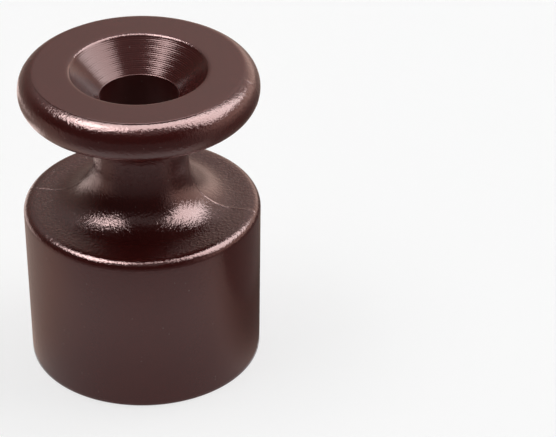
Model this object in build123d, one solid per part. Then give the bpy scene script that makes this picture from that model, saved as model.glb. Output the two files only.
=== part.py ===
from build123d import *
from math import acos, degrees
import os

# Knob insulator for surface wiring: a one-piece moulded body and the screw that fixes it.
# Millimetres. +Z is up, away from the mounting surface. The origin is where the screw's
# axis meets that surface, and the mould's parting plane is Y = 0.

# Outside of the body
total_height = 25.0
head_diameter = 18.5
head_thickness = 3.2
rim_round = 1.35            # how far in from the head's edge its rounded rim starts
top_face_diameter = 16.3
top_face_step = 0.06        # the top face stands this much above the rim
neck_diameter = 7.4
groove_round = 3.65         # radius of the two coves of the cable groove
least_land = 0.4            # flat left between a cove and the rounded edge outside it
base_height = 13.3          # mounting surface to the shoulder under the cable groove
base_diameter = 18.12       # at the mounting surface
base_flare = 0.15           # the base's side leans out by this much up to the shoulder
shoulder_round = 0.5
foot_round = 0.12

# Hollow of the base
cavity_diameter = 12.5
cavity_draft = 0.2
cavity_round = 0.8
roof_thickness = 3.0        # plastic between the hollow's ceiling and the shoulder

# Fixing screw, slotted and countersunk
screw_length = 40.0
screw_head_diameter = 5.6
screw_head_rim = 0.25       # upright edge of the head above its 90 degree cone
slot_width = 0.8
slot_depth = 0.7
shank_diameter = 2.5
thread_diameter = 3.0
thread_length = 24.0        # point included
point_length = 3.0
point_tip_diameter = 0.3

# Screw hole through the body
head_sink = 5.5             # the screw's head lies this far below the top face
head_clearance = 0.23       # round the head, in the driver bore
seat_gap = 0.1              # along the axis, between the head's cone and its seat
thread_clearance = 0.2      # round the thread, in the hole under the seat
hole_chamfer = 0.2          # where that hole opens into the hollow
countersink_diameter = 10.72
countersink_round = 0.5

# Radii and levels that follow from the sizes above
head_radius = head_diameter / 2
top_face_radius = top_face_diameter / 2
neck_radius = neck_diameter / 2
base_radius = base_diameter / 2
shoulder_radius = base_radius + base_flare
cavity_radius = cavity_diameter / 2
screw_head_radius = screw_head_diameter / 2
shank_radius = shank_diameter / 2
thread_radius = thread_diameter / 2
driver_bore_radius = screw_head_radius + head_clearance
screw_hole_radius = thread_radius + thread_clearance
countersink_radius = countersink_diameter / 2
head_underside = total_height - head_thickness
cavity_height = base_height - roof_thickness
screw_top = total_height - head_sink
screw_tip = screw_top - screw_length
head_cone_top = screw_top - screw_head_rim
head_cone_bottom = head_cone_top - (screw_head_radius - shank_radius)
seat_top = head_cone_top + head_clearance - seat_gap
seat_bottom = seat_top - (driver_bore_radius - screw_hole_radius)
countersink_bottom = total_height - (countersink_radius - driver_bore_radius)


def turned(*outline):
    """A solid turned about Z from a closed outline of (radius, height) edges."""
    return revolve(Plane.XZ * make_face(list(outline)), Axis.Z)


def ring_edge(solid, radius, height):
    """The circular edge of a turned solid that has this radius and height."""
    return [edge for edge in solid.edges().filter_by(GeomType.CIRCLE)
            if abs(edge.radius - radius) < 0.001 and abs(edge.arc_center.Z - height) < 0.001]


def head_side():
    """The head's outline, from the top face round the rim to the underside."""
    rim_centre = head_radius - rim_round
    half_height = (head_thickness - top_face_step) / 2
    start = degrees(acos((top_face_radius - rim_centre) / rim_round))
    rim = EllipticalCenterArc((rim_centre, head_underside + half_height), rim_round, half_height,
                              start, arc_size=-(start + 90))
    top = Polyline((0, total_height), (top_face_radius, total_height), rim @ 0)
    return [*top.edges(), rim]


def groove_side(edge_radius, cove):
    """The cable groove's outline: a cove, the neck and a second cove."""
    upper = head_underside - cove
    lower = base_height + cove
    side = [CenterArc((edge_radius, upper), cove, 90, 90)]
    if upper > lower:
        side.append(Line((neck_radius, upper), (neck_radius, lower)))
    side.append(CenterArc((edge_radius, lower), cove, 180, 90))
    return side


def body_blank():
    """The outside of the body, still solid. Its rounds are limited by the room they have."""
    rim_centre = head_radius - rim_round
    cove = min(groove_round, (head_underside - base_height) / 2,
               rim_centre - neck_radius - least_land, shoulder_radius - neck_radius - least_land)
    groove_edge = neck_radius + cove
    shoulder_fillet = min(shoulder_round, 0.9 * (shoulder_radius - groove_edge))
    base = Polyline((groove_edge, base_height), (shoulder_radius, base_height), (base_radius, 0),
                    (0, 0), (0, total_height))
    blank = turned(*head_side(), Line((rim_centre, head_underside), (groove_edge, head_underside)),
                   *groove_side(groove_edge, cove), *base.edges())
    blank = fillet(ring_edge(blank, shoulder_radius, base_height), shoulder_fillet)
    return fillet(ring_edge(blank, base_radius, 0), foot_round)


def base_hollow():
    """The hollow that opens at the mounting surface."""
    ceiling_radius = cavity_radius - cavity_draft
    outline = Polyline((0, 0), (cavity_radius, 0), (ceiling_radius, cavity_height),
                       (0, cavity_height), close=True)
    hollow = turned(*outline.edges())
    return fillet(ring_edge(hollow, ceiling_radius, cavity_height), cavity_round)


def screw_hole():
    """The stepped hole: countersink, driver bore, conical seat and screw hole."""
    mouth_radius = screw_hole_radius + hole_chamfer
    outline = Polyline((0, total_height), (countersink_radius, total_height),
                       (driver_bore_radius, countersink_bottom), (driver_bore_radius, seat_top),
                       (screw_hole_radius, seat_bottom),
                       (screw_hole_radius, cavity_height + hole_chamfer),
                       (mouth_radius, cavity_height), (0, cavity_height), close=True)
    return turned(*outline.edges())


def insulator_body():
    """The moulded body, with its hollow and screw hole."""
    body = body_blank() - base_hollow() - screw_hole()
    return fillet(ring_edge(body, countersink_radius, total_height), countersink_round)


def fixing_screw():
    """The screw, with its thread as a plain cylinder of the thread's outer diameter."""
    thread_top = screw_tip + thread_length
    thread_fade = thread_radius - shank_radius
    outline = Polyline((0, screw_top), (screw_head_radius, screw_top),
                       (screw_head_radius, head_cone_top), (shank_radius, head_cone_bottom),
                       (shank_radius, thread_top), (thread_radius, thread_top - thread_fade),
                       (thread_radius, screw_tip + point_length),
                       (point_tip_diameter / 2, screw_tip), (0, screw_tip), close=True)
    slot = Pos(0, 0, screw_top) * Box(screw_head_diameter + 1, slot_width, 2 * slot_depth)
    return turned(*outline.edges()) - slot


os.makedirs("parts", exist_ok=True)
export_step(insulator_body(), "parts/insulator_body.step")
export_step(fixing_screw(), "parts/fixing_screw.step")
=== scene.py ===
"""Looks of a brown moulded knob insulator for surface wiring, with its steel fixing screw."""

from math import asin, cos, degrees, pi, radians, sin, sqrt, tan

import bmesh
import bpy
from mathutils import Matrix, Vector


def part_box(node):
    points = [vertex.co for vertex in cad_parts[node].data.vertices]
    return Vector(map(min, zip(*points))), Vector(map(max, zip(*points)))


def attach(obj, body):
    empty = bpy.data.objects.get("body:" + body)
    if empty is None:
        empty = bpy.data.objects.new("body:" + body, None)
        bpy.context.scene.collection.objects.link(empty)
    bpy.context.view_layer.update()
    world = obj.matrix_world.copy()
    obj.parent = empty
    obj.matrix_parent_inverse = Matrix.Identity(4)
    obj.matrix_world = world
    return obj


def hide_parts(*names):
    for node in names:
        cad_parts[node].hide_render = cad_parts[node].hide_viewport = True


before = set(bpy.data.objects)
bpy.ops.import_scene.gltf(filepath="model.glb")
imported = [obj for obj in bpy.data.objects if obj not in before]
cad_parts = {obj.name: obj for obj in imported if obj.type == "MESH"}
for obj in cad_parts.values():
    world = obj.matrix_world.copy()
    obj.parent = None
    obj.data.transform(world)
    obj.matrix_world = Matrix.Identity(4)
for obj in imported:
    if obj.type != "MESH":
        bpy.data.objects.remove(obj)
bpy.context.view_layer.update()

MM = 0.001
body_low, body_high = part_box("insulator_body")
screw_low, screw_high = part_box("fixing_screw")

# ---------------------------------------------------------------- sizes of the insulator
top = body_high.z
head_radius = min(body_high.x, -body_low.x)
ridge_height = 0.010 * MM  # flash left where the two mould halves meet
ridge_width = 0.07 * MM
wall_slack = 0.1 * MM  # how far inside its nominal radius a point still counts as a wall's

rim_half_width = 1.35 * MM
head_thickness = 3.2 * MM
top_step = 0.06 * MM
top_face_radius = 8.15 * MM
top_edge_round = 0.025 * MM
neck_radius = 3.7 * MM
cove_radius = 3.65 * MM
land_height = 13.3 * MM
shoulder_radius = 9.21 * MM
shoulder_round = 0.7 * MM
foot_radius = 9.06 * MM
foot_round = 0.12 * MM

lip_round = 0.5 * MM
countersink_radius = 5.36 * MM  # of the sharp cone, before its lip is rounded
bore_radius = 3.03 * MM
seat_height = 19.38 * MM
hole_radius = 1.7 * MM
hollow_mouth_radius = 6.25 * MM
hollow_top_radius = 6.05 * MM
hollow_round = 0.8 * MM
ceiling = 10.3 * MM
hole_chamfer = 0.2 * MM

turned_rings = 20
points_a_ring = 4
ring_depth = 0.009 * MM
waviness = 0.006 * MM
waviness_length = 1.1 * MM

# ---------------------------------------------------------------- sizes of the screw
screw_top = screw_high.z
screw_tip = screw_low.z
screw_head_radius = screw_high.x
screw_head_rim = 0.25 * MM
screw_head_chamfer = 0.06 * MM
shank_radius = 1.25 * MM
thread_radius = 1.5 * MM
thread_core_radius = 1.02 * MM
thread_pitch = 1.35 * MM
thread_top = 3.25 * MM
point_top = screw_tip + 3 * MM
tip_radius = 0.15 * MM
slot_width = 0.8 * MM
slot_depth = 0.7 * MM
screw_neck = screw_top - screw_head_rim - (screw_head_radius - shank_radius)


# ---------------------------------------------------------------- modelling by hand
class Outline:
    """Half of a turned piece's section, drawn in the XZ plane by extruding its last point."""

    def __init__(self, name, radius, height):
        bpy.ops.object.select_all(action="DESELECT")
        bpy.ops.mesh.primitive_plane_add(size=MM)
        self.piece = bpy.context.object
        self.piece.name = name
        bpy.ops.object.mode_set(mode="EDIT")
        bpy.ops.mesh.merge(type="CENTER")
        bpy.ops.transform.translate(value=(radius, 0, height))
        self.radius = radius
        self.height = height

    def line(self, radius, height, steps=1):
        """A straight run to that radius and height."""
        step = ((radius - self.radius) / steps, 0, (height - self.height) / steps)
        for _ in range(steps):
            bpy.ops.mesh.extrude_region_move(TRANSFORM_OT_translate={"value": step})
        self.radius = radius
        self.height = height

    def arc(self, centre, radii, start, end, steps):
        """Part of an ellipse round centre, from one angle to another, in degrees."""
        for i in range(1, steps + 1):
            angle = radians(start + (end - start) * i / steps)
            self.line(centre[0] + radii[0] * cos(angle), centre[1] + radii[1] * sin(angle))

    def turn(self, spins):
        """Spins the outline round the Z axis in runs of (steps, degrees) and closes the seam."""
        bpy.ops.mesh.select_all(action="SELECT")
        for steps, angle in spins:
            bpy.ops.mesh.spin(
                steps=steps, angle=radians(angle), center=(0, 0, 0), axis=(0, 0, 1)
            )
        bpy.ops.mesh.select_all(action="SELECT")
        bpy.ops.mesh.remove_doubles(threshold=0.001 * MM)
        bpy.ops.mesh.normals_make_consistent(inside=False)
        return self.piece


def pick_points(piece, test):
    """Selects, in edit mode, the points whose place passes the test."""
    bpy.ops.mesh.select_all(action="DESELECT")
    mesh = bmesh.from_edit_mesh(piece.data)
    for point in mesh.verts:
        point.select_set(test(point.co))
    mesh.select_flush_mode()
    bmesh.update_edit_mesh(piece.data)


def apply_all(piece):
    """Applies every modifier of the piece."""
    bpy.context.view_layer.objects.active = piece
    for modifier in list(piece.modifiers):
        bpy.ops.object.modifier_apply(modifier=modifier.name)


def smooth(piece, angle):
    """Smooth shading, with edges sharper than the angle left crisp."""
    bpy.ops.object.mode_set(mode="OBJECT")
    bpy.ops.object.select_all(action="DESELECT")
    piece.select_set(True)
    bpy.context.view_layer.objects.active = piece
    bpy.ops.object.shade_smooth_by_angle(angle=radians(angle))


# ---------------------------------------------------------------- insulator
def on_mould_wall(place):
    """True on the outer walls, which the two mould halves shape."""
    radius = sqrt(place.x**2 + place.y**2)
    if place.z < foot_round or place.z > top - 2 * top_step:
        return False
    if place.z < land_height - shoulder_round:
        return radius > foot_radius - wall_slack
    if place.z > top - head_thickness:
        return radius > head_radius - rim_half_width
    return radius > neck_radius - wall_slack


def draw_base_and_neck(outline):
    """From the foot up the base's side, in over its land and up the grooved neck."""
    outline.line(foot_radius - foot_round, 0, 8)
    centre = (foot_radius - foot_round, foot_round)
    outline.arc(centre, (foot_round, foot_round), -90, 0, 4)
    shoulder = (shoulder_radius - shoulder_round, land_height - shoulder_round)
    outline.line(shoulder_radius, shoulder[1], 46)
    outline.arc(shoulder, (shoulder_round, shoulder_round), 0, 90, 10)
    cove_reach = neck_radius + cove_radius
    outline.line(cove_reach, land_height, 5)
    lower = (cove_reach, land_height + cove_radius)
    outline.arc(lower, (cove_radius, cove_radius), 270, 180, 34)
    upper = (cove_reach, top - head_thickness - cove_radius)
    outline.line(neck_radius, upper[1], 5)
    outline.arc(upper, (cove_radius, cove_radius), 180, 90, 34)


def draw_head(outline):
    """Round the rim, over its small step and in along the flat top to the lip."""
    underside = top - head_thickness
    rim_centre = head_radius - ridge_height - rim_half_width
    outline.line(rim_centre, underside, 3)
    rim_half_height = (head_thickness - top_step) / 2
    centre = (rim_centre, underside + rim_half_height)
    reach = (top_face_radius - rim_centre) / rim_half_width
    last = 90 - degrees(asin(reach))
    outline.arc(centre, (rim_half_width, rim_half_height), -90, last, 44)
    outline.line(top_face_radius, top - top_edge_round)
    edge = (top_face_radius - top_edge_round, top - top_edge_round)
    outline.arc(edge, (top_edge_round, top_edge_round), 0, 90, 2)
    lip = lip_centre()
    outline.line(lip[0], top, 12)
    outline.arc(lip, (lip_round, lip_round), 90, 135, 8)


def lip_centre():
    """Centre of the round between the flat top and the countersink's 45 degree cone."""
    return (countersink_radius + lip_round * tan(radians(22.5)), top - lip_round)


def draw_countersink(outline):
    """Down the cone in fine turned rings, to the bore for the driver."""
    start = (outline.radius, outline.height)
    run = start[0] - bore_radius
    points = points_a_ring * turned_rings
    for i in range(1, points + 1):
        along = i / points
        depth = ring_depth * (0.7 + 0.3 * sin(1.7 * (i // points_a_ring)))
        ring = depth * (1 - cos(along * turned_rings * 2 * pi)) / 2
        side = ring / sqrt(2)
        outline.line(start[0] - run * along + side, start[1] - run * along - side)


def draw_bore_and_hollow(outline):
    """Down the bore and the screw's seat and hole, and round the hollow of the base."""
    outline.line(bore_radius, seat_height, 6)
    outline.line(hole_radius, seat_height - (bore_radius - hole_radius), 3)
    outline.line(hole_radius, ceiling + hole_chamfer, 8)
    outline.line(hole_radius + hole_chamfer, ceiling)
    centre = (hollow_top_radius - hollow_round, ceiling - hollow_round)
    outline.line(centre[0], ceiling, 6)
    outline.arc(centre, (hollow_round, hollow_round), 90, 0, 6)
    outline.line(hollow_mouth_radius, 0, 12)


def raise_mould_ridge(piece):
    """Lifts the two lines of points in the mould's parting plane into a fine ridge."""
    pick_points(piece, lambda p: abs(p.y) < 0.002 * MM and on_mould_wall(p))
    bpy.ops.transform.shrink_fatten(value=ridge_height)


def add_waviness(piece):
    """Slight unevenness of the outer walls, always inwards."""
    skin = piece.vertex_groups.new(name="outer_walls")
    skin.add([v.index for v in piece.data.vertices if on_mould_wall(v.co)], 1, "REPLACE")
    unevenness = bpy.data.textures.new("moulding_unevenness", "CLOUDS")
    unevenness.noise_scale = waviness_length
    unevenness.noise_depth = 1
    displace = piece.modifiers.new("unevenness", "DISPLACE")
    displace.texture = unevenness
    displace.texture_coords = "LOCAL"
    displace.vertex_group = "outer_walls"
    displace.mid_level = 1
    displace.strength = waviness
    apply_all(piece)


def make_insulator():
    """The one-piece moulding, turned from its half section."""
    outline = Outline("insulator_moulding", hollow_mouth_radius, 0)
    draw_base_and_neck(outline)
    draw_head(outline)
    draw_countersink(outline)
    draw_bore_and_hollow(outline)
    edge = degrees(ridge_width / 2 / foot_radius)
    half_turn = [(1, edge), (136, 180 - 2 * edge), (1, edge)]
    piece = outline.turn(half_turn * 2)
    raise_mould_ridge(piece)
    bpy.ops.object.mode_set(mode="OBJECT")
    add_waviness(piece)
    smooth(piece, 35)
    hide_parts("insulator_body")
    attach(piece, "insulator")
    return piece


# ---------------------------------------------------------------- screw
def cut_slot(piece):
    """Cuts the driver slot across the screw's head."""
    bpy.ops.object.mode_set(mode="OBJECT")
    bpy.ops.object.select_all(action="DESELECT")
    bpy.ops.mesh.primitive_cube_add(size=1)
    cutter = bpy.context.object
    bpy.ops.object.mode_set(mode="EDIT")
    size = (3 * screw_head_radius, slot_width, 2 * slot_depth)
    bpy.ops.transform.resize(value=size)
    bpy.ops.transform.translate(value=(0, 0, screw_top))
    bpy.ops.mesh.subdivide(number_cuts=3)
    bpy.ops.object.mode_set(mode="OBJECT")
    cut = piece.modifiers.new("slot", "BOOLEAN")
    cut.operation = "DIFFERENCE"
    cut.solver = "EXACT"
    cut.object = cutter
    apply_all(piece)
    bpy.data.objects.remove(cutter)


def round_edges(piece, width):
    """A small bevel on the piece's sharp edges."""
    bevel = piece.modifiers.new("edges", "BEVEL")
    bevel.width = width
    bevel.segments = 2
    bevel.limit_method = "ANGLE"
    bevel.angle_limit = radians(40)
    apply_all(piece)


def thread_reach(height):
    """Radius of the thread's crest: full on the core, and drawn in to the point."""
    share = (height - screw_tip) / (point_top - screw_tip)
    return tip_radius + (thread_radius - tip_radius) * min(1, share)


def make_screw_blank():
    """Head, shank and core of the screw, turned from their half section."""
    outline = Outline("screw_blank", 0, screw_top)
    outline.line(screw_head_radius - screw_head_chamfer, screw_top, 24)
    outline.line(screw_head_radius, screw_top - screw_head_chamfer, 2)
    outline.line(screw_head_radius, screw_top - screw_head_rim)
    outline.line(shank_radius + 0.1 * MM, screw_neck + 0.1 * MM, 6)
    outline.line(shank_radius, screw_neck - 0.1 * MM, 2)
    outline.line(shank_radius, thread_top + 0.25 * MM, 10)
    outline.line(thread_core_radius, thread_top - 0.1 * MM, 3)
    outline.line(thread_core_radius, point_top, 30)
    outline.line(tip_radius * 0.6, screw_tip + 0.05 * MM, 10)
    outline.line(0, screw_tip)
    piece = outline.turn([(96, 360)])
    cut_slot(piece)
    round_edges(piece, 0.03 * MM)
    return piece


def make_thread():
    """A sharp right-hand thread, extruded along its helix from the shank to the point."""
    steps_a_turn = 32
    run_out = 10
    drop = thread_pitch / steps_a_turn
    half_base = 0.30 * thread_pitch
    height = thread_top - half_base
    reach = thread_core_radius
    bpy.ops.object.select_all(action="DESELECT")
    bpy.ops.mesh.primitive_circle_add(vertices=3, radius=MM, fill_type="NGON")
    piece = bpy.context.object
    piece.name = "screw_thread"
    bpy.ops.object.mode_set(mode="EDIT")
    mesh = bmesh.from_edit_mesh(piece.data)
    root = 0.62 * reach
    corners = [(root, half_base), (reach, 0), (root, -half_base)]
    for point, (radius, lift) in zip(mesh.verts, corners):
        point.co = (radius, 0, height + lift)
    bmesh.update_edit_mesh(piece.data)
    turns = (height - screw_tip - 0.4 * MM) / thread_pitch
    for step in range(1, int(turns * steps_a_turn) + 1):
        height -= drop
        grown = min(1, step / run_out)
        wanted = thread_core_radius + (thread_reach(height) - thread_core_radius) * grown
        size = wanted / reach
        reach = wanted
        bpy.ops.mesh.extrude_region_move(TRANSFORM_OT_translate={"value": (0, 0, -drop)})
        bpy.ops.transform.rotate(
            value=2 * pi / steps_a_turn, orient_axis="Z", center_override=(0, 0, 0)
        )
        bpy.ops.transform.resize(value=(size, size, 1), center_override=(0, 0, 0))
    bpy.ops.mesh.select_all(action="SELECT")
    bpy.ops.mesh.normals_make_consistent(inside=False)
    bpy.ops.object.mode_set(mode="OBJECT")
    return piece


# ---------------------------------------------------------------- materials
class Value:
    """An output socket of a material's nodes. Arithmetic on it adds Math nodes."""

    def __init__(self, nodes, socket):
        self.nodes = nodes
        self.socket = socket

    def math(self, operation, *values):
        """A Math node of that operation on these values."""
        inputs = dict(enumerate(values))
        return self.nodes.add("Math", {"operation": operation}, inputs)

    def __add__(self, other):
        return self.math("ADD", self, other)

    def __radd__(self, other):
        return self.math("ADD", other, self)

    def __sub__(self, other):
        return self.math("SUBTRACT", self, other)

    def __rsub__(self, other):
        return self.math("SUBTRACT", other, self)

    def __mul__(self, other):
        return self.math("MULTIPLY", self, other)

    def __rmul__(self, other):
        return self.math("MULTIPLY", other, self)

    def __pow__(self, other):
        return self.math("POWER", self, other)

    def between(self, low, high):
        """0 below low, 1 above high and a smooth step between them."""
        settings = {"interpolation_type": "SMOOTHSTEP"}
        return self.nodes.add("MapRange", settings, {0: self, 1: low, 2: high})


class Nodes:
    """The node tree of a material or of the world."""

    def __init__(self, owner):
        owner.use_nodes = True
        self.tree = owner.node_tree
        self.tree.nodes.clear()

    def add(self, kind, settings=None, inputs=None, output=0):
        """A node of that kind. Its settings come first, then its sockets' values or links."""
        node = self.tree.nodes.new("ShaderNode" + kind)
        for name, value in (settings or {}).items():
            setattr(node, name, value)
        for name, value in (inputs or {}).items():
            if isinstance(value, Value):
                self.tree.links.new(value.socket, node.inputs[name])
            else:
                node.inputs[name].default_value = value
        return Value(self, node.outputs[output]) if node.outputs else node

    def vector(self, operation, *vectors, output=0):
        """A Vector Math node of that operation on these vectors."""
        return self.add("VectorMath", {"operation": operation}, dict(enumerate(vectors)), output)

    def place(self):
        """The place on the piece, in millimetres, and its three coordinates."""
        metres = self.add("TexCoord", output=3)
        place = self.add("VectorMath", {"operation": "SCALE"}, {0: metres, 3: 1 / MM})
        return place, [self.add("SeparateXYZ", None, {0: place}, i) for i in range(3)]

    def noise(self, place, length, detail=2, roughness=0.5):
        """Soft noise with features of that length, in millimetres, about a half."""
        inputs = {"Vector": place, "Scale": 1 / length, "Detail": detail, "Roughness": roughness}
        return self.add("TexNoise", {"noise_dimensions": "3D"}, inputs)

    def blend(self, share, first, second):
        """The first colour where share is 0 and the second where it is 1."""
        inputs = {0: share, 6: first, 7: second}
        return self.add("Mix", {"data_type": "RGBA"}, inputs, 2)

    def bump(self, height):
        """A bumped normal from a relief in millimetres."""
        return self.add("Bump", None, {"Strength": 1.0, "Distance": MM, "Height": height})

    def surface(self, shader):
        """Makes the shader the material's surface."""
        self.add("OutputMaterial", None, {0: shader})


def colour(red, green, blue):
    """A colour with full alpha."""
    return (red, green, blue, 1)


def brown_plastic():
    """Dark brown phenolic moulding: satin walls with a fine leathery skin, turned countersink."""
    material = bpy.data.materials.new("brown_plastic")
    nodes = Nodes(material)
    place, (x, y, z) = nodes.place()
    radius = (x * x + y * y) ** 0.5

    face = top / MM
    mouth = countersink_radius / MM
    shelf = land_height / MM
    edge = shoulder_radius / MM
    drill = bore_radius / MM
    flat_top = z.between(face - 0.07, face - 0.03) * radius.between(mouth - 0.06, mouth + 0.14)
    cone = z.between(face - 2.4, face - 2.3) * (1 - radius.between(mouth - 0.26, mouth - 0.01))
    side = (1 - z.between(shelf - 0.8, shelf - 0.4)) * radius.between(edge - 0.51, edge - 0.31)
    bore = 1 - radius.between(drill + 0.02, drill + 0.12)
    land = z.between(shelf - 0.3, shelf - 0.1) * (1 - z.between(shelf + 0.2, shelf + 0.6))
    land = land * radius.between(edge - 3.01, edge - 2.01)
    land = land * (1 - radius.between(edge - 0.91, edge - 0.61))
    leather = (1 - 0.65 * side + 0.7 * land) * (1 - bore)

    fine = nodes.noise(place, 0.13, 2, 0.6)
    coarse = nodes.noise(place, 0.26, 2, 0.5)
    cloud = nodes.noise(place, 3.0, 3, 0.6)
    specks = nodes.noise(place, 0.20, 0).between(0.84, 0.88) * (1 - 0.7 * flat_top)
    pits = nodes.noise(place, 0.13, 1).between(0.66, 0.76)
    sideways = nodes.add("CombineXYZ", None, {0: x, 1: y, 2: 0.0})
    spokes = nodes.noise(nodes.vector("NORMALIZE", sideways), 0.035, 3, 0.7)

    brown = nodes.blend(cloud, colour(0.033, 0.0048, 0.0041), colour(0.047, 0.0066, 0.0056))
    dusted = nodes.blend(specks * 0.5, brown, colour(0.13, 0.10, 0.09))
    roughness = 0.12 + 0.06 * coarse + 0.08 * flat_top + 0.02 * cone + 0.15 * bore
    relief = leather * (0.011 * fine + 0.027 * coarse) * (1 - flat_top) * (1 - cone)
    relief = relief - 0.004 * pits * side + 0.003 * fine * flat_top + 0.0006 * spokes * cone
    bump = nodes.bump(relief)
    moulded = plastic_shader(nodes, dusted, roughness, bump, 1.55)
    turned = plastic_shader(nodes, dusted, roughness, bump, 1.2)
    nodes.surface(nodes.add("MixShader", None, {0: 0.6 * cone, 1: moulded, 2: turned}))
    return material


def plastic_shader(nodes, brown, roughness, bump, gloss):
    """Brown plastic whose shine is as strong as that index of refraction makes it."""
    inputs = {"Base Color": brown, "Roughness": roughness, "IOR": gloss, "Normal": bump}
    inputs["Specular Tint"] = colour(1.0, 0.70, 0.68)
    return nodes.add("BsdfPrincipled", None, inputs)


def screw_steel():
    """Plated steel with painted shade: head top and slot darkened where the bore's shade falls on
    them; turned head, drawn shank and rolled thread.
    """
    material = bpy.data.materials.new("screw_steel")
    nodes = Nodes(material)
    place, (x, y, z) = nodes.place()
    radius = (x * x + y * y) ** 0.5
    neck = screw_neck / MM
    slot_floor = (screw_top - slot_depth) / MM
    rim = screw_head_radius / MM
    head = z.between(neck - 0.1, neck + 0.1)
    # Painted shade: the mask over the head's top and its slot, which sit down in the shaded bore.
    head_top_shade = z.between(slot_floor - 0.1, slot_floor) * (1 - radius.between(rim - 0.09, rim - 0.05))

    cloud = nodes.noise(place, 1.4, 3, 0.6)
    grain = nodes.noise(place, 0.09, 2, 0.6)
    turning_pitch = 0.11
    turning = nodes.add("Math", {"operation": "SINE"}, {0: radius * (2 * pi / turning_pitch)})
    bright = nodes.blend(cloud, colour(0.50, 0.50, 0.485), colour(0.70, 0.70, 0.68))
    # The 0.14 grey on the head's top and slot is painted shade of the bore, not the steel's own
    # colour.
    steel = nodes.blend(head_top_shade, bright, colour(0.14, 0.135, 0.13))
    inputs = {"Base Color": steel, "Metallic": 1.0}
    inputs["Roughness"] = 0.14 + 0.12 * cloud + 0.05 * grain
    inputs["Normal"] = nodes.bump(0.0012 * turning * head + 0.0025 * grain)
    nodes.surface(nodes.add("BsdfPrincipled", None, inputs))
    return material


def make_screw():
    """Blank and thread joined into one screw."""
    blank = make_screw_blank()
    thread = make_thread()
    bpy.ops.object.select_all(action="DESELECT")
    thread.select_set(True)
    blank.select_set(True)
    bpy.context.view_layer.objects.active = blank
    bpy.ops.object.join()
    blank.name = "slotted_screw"
    smooth(blank, 30)
    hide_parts("fixing_screw")
    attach(blank, "screw")
    return blank


# ---------------------------------------------------------------- camera, floor and light
camera_turn = radians(10.75)
camera_pitch = radians(32.97)
camera_distance = 224.4 * MM
camera_lens = 187.77
camera_sensor = 36
aim_beside = Vector((10.66, 0.40, 0)) * MM  # from the insulator's middle to where it looks

table_size = 3
table_glow = 0.62  # share of the table's white that doesn't depend on the lamps
room_fill = 0.25
room_mirrored = 0.75  # strength of the room in polished things, above the tent

lamp_distance = 0.50
shine_distance = 0.48
soft_level = 2.0

tent_mouth = 9.12 * MM
tent_radius = 1200 * MM
tent_height = 1360 * MM
tent_lift = 0.2 * MM


def bearing(turn, rise):
    """Direction from the insulator: turn from the camera, anticlockwise, and rise, in degrees."""
    angle = camera_turn - pi / 2 + radians(turn)
    flat = cos(radians(rise))
    return Vector((flat * cos(angle), flat * sin(angle), sin(radians(rise))))


def make_camera():
    """A long lens looking down at a point beside the insulator, at half its height."""
    aim = (body_low + body_high) / 2 + aim_beside
    place = aim + camera_distance * bearing(0, degrees(camera_pitch))
    bpy.ops.object.camera_add(
        location=place, rotation=(pi / 2 - camera_pitch, 0, camera_turn)
    )
    camera = bpy.context.object
    camera.data.lens = camera_lens
    camera.data.sensor_width = camera_sensor
    camera.data.clip_start = 0.01
    camera.data.clip_end = 10
    bpy.context.scene.camera = camera


def make_floor():
    """A white table top at the insulator's foot, open to a look from below."""
    bpy.ops.mesh.primitive_plane_add(size=table_size)
    floor = bpy.context.object
    floor.name = "floor"
    material = bpy.data.materials.new("white_table")
    nodes = Nodes(material)
    paper = nodes.add("BsdfDiffuse", None, {"Color": colour(0.95, 0.95, 0.95)})
    glow = nodes.add("Emission", None, {"Color": colour(1, 1, 1), "Strength": 1.0})
    lit = nodes.add("MixShader", None, {0: table_glow, 1: paper, 2: glow})
    clear = nodes.add("BsdfTransparent")
    below = nodes.add("NewGeometry", output=6)
    nodes.surface(nodes.add("MixShader", None, {0: below, 1: lit, 2: clear}))
    floor.data.materials.append(material)


def make_world():
    """A white room for the camera, a paler one for polished things and a dim even fill."""
    world = bpy.data.worlds.new("white_room")
    bpy.context.scene.world = world
    nodes = Nodes(world)
    seen = nodes.add("LightPath", output=0) + nodes.add("LightPath", output=6)
    mirrored = nodes.add("LightPath", output=3)
    extra = (room_mirrored - room_fill) * mirrored * (1 - seen)
    strength = room_fill + (1 - room_fill) * seen + extra
    room = nodes.add("Background", None, {"Color": colour(1, 1, 1), "Strength": strength})
    nodes.add("OutputWorld", None, {0: room})


def softbox(name, turn, rise, width, height, shine):
    """A rectangular soft lamp, and in front of it a stronger one for reflections alone."""
    away = bearing(turn, rise)
    soft = ("soft", soft_level, lamp_distance)
    mirrored = ("shine", shine, shine_distance)
    for kind, level, distance in (soft, mirrored):
        bpy.ops.object.light_add(
            type="AREA",
            location=away * distance,
            rotation=away.to_track_quat("Z", "Y").to_euler(),
        )
        lamp = bpy.context.object
        lamp.name = f"{name}_{kind}"
        lamp.data.shape = "RECTANGLE"
        lamp.data.size = width
        lamp.data.size_y = height
        lamp.data.energy = level * pi * width * height
        lamp.visible_camera = False
        lamp.visible_diffuse = kind == "soft"


def make_lights():
    """Soft lamps on the left, behind overhead and on the right."""
    softbox("left", -80, 63.5, 0.28, 0.22, 18)
    softbox("overhead", -165, 82, 0.46, 0.34, 11)
    softbox("right", 102, 48, 0.40, 0.32, 10.5)


def toward(nodes, outward, turn):
    """How far a flat direction points to that turn from the camera: 1 at it, -1 away from it."""
    return nodes.vector("DOT_PRODUCT", outward, bearing(turn, 0), output=1)


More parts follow.
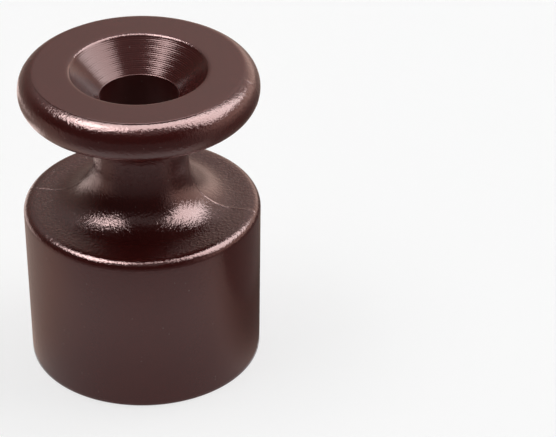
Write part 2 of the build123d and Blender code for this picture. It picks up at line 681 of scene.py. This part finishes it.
def tent_strength(nodes, front, outward):
    """How bright the table and the wall of the tent are at each place."""
    right = toward(nodes, outward, 110)
    back_right = toward(nodes, outward, 118)
    x, y, z = nodes.place()[1]
    radius = (x * x + y * y) ** 0.5

    # Painted shadow: the table is made darker close to the insulator's foot, as the insulator's
    # own shadow seen in its reflections.
    near = 0.65 + 0.35 * radius.between(8, 22)
    around = 0.5 + 0.5 * front.between(-0.75, 0.55)
    far = 1 - 0.75 * front.between(0, 0.8) * radius.between(18, 42)
    shade = 1 - 0.75 * right.between(0.6, 1) * (1 - radius.between(45, 90))
    table = 1.02 * near * around * far * shade

    behind = 1 - front.between(-1, 0.3)
    wall = 0.05 + behind * (0.37 + 0.46 * z.between(580, 880))
    wall = wall + 1.9 * back_right.between(0.2, 0.9) * (1 - 0.7 * z.between(350, 750))
    return table + (wall - table) * z.between(1, 12)


def make_tent():
    """A grey tent round the set, darkest on the camera's side, seen only in polished things."""
    outline = Outline("tent", tent_mouth, tent_lift)
    outline.line(tent_radius, tent_lift, 8)
    outline.line(tent_radius, tent_height)
    tent = outline.turn([(96, 360)])
    bpy.ops.object.mode_set(mode="OBJECT")
    material = bpy.data.materials.new("grey_wall")
    nodes = Nodes(material)
    place, (_, _, z) = nodes.place()
    outward = nodes.vector("NORMALIZE", nodes.vector("MULTIPLY", place, (1, 1, 0)))
    front = toward(nodes, outward, 0)
    beside = 1 - front.between(0.1, 0.9)
    warm_share = beside * (1 - 0.6 * z.between(450, 900))
    warmth = nodes.blend(warm_share, colour(1, 1, 1), colour(1.0, 0.76, 0.66))
    strength = tent_strength(nodes, front, outward)
    nodes.surface(nodes.add("Emission", None, {"Color": warmth, "Strength": strength}))
    tent.data.materials.append(material)
    only_mirrored(tent)


def only_mirrored(thing):
    """Marks staging that shows in polished things alone, and casts no shadow."""
    thing.visible_camera = False
    thing.visible_diffuse = False
    thing.visible_shadow = False


def make_card(name, turn, distance, radius, low, high, strength):
    """A round card standing near the insulator, which fades out above and below."""
    bpy.ops.mesh.primitive_cylinder_add(
        vertices=64,
        radius=radius,
        depth=high - low,
        location=bearing(turn, 0) * distance + Vector((0, 0, (low + high) / 2)),
    )
    bpy.ops.object.transform_apply(location=True)
    card = bpy.context.object
    card.name = name
    material = bpy.data.materials.new(name)
    nodes = Nodes(material)
    height = nodes.place()[1][2] * MM
    edge = (high - low) * 0.35
    solid = height.between(low, low + edge) * (1 - height.between(high - edge, high))
    warm = colour(1.0, 0.80, 0.74)
    face = nodes.add("Emission", None, {"Color": warm, "Strength": strength})
    clear = nodes.add("BsdfTransparent")
    nodes.surface(nodes.add("MixShader", None, {0: solid, 1: clear, 2: face}))
    card.data.materials.append(material)
    only_mirrored(card)


insulator = make_insulator()
insulator.data.materials.append(brown_plastic())
screw = make_screw()
screw.data.materials.append(screw_steel())
make_camera()
make_floor()
make_world()
make_lights()
make_tent()
make_card("dark_card", 104, 33 * MM, 18 * MM, -4 * MM, 15 * MM, 0.20)
make_card("light_card", -120, 30 * MM, 13 * MM, 6 * MM, 13.5 * MM, 1.9)
bpy.context.scene.view_settings.view_transform = "Standard"
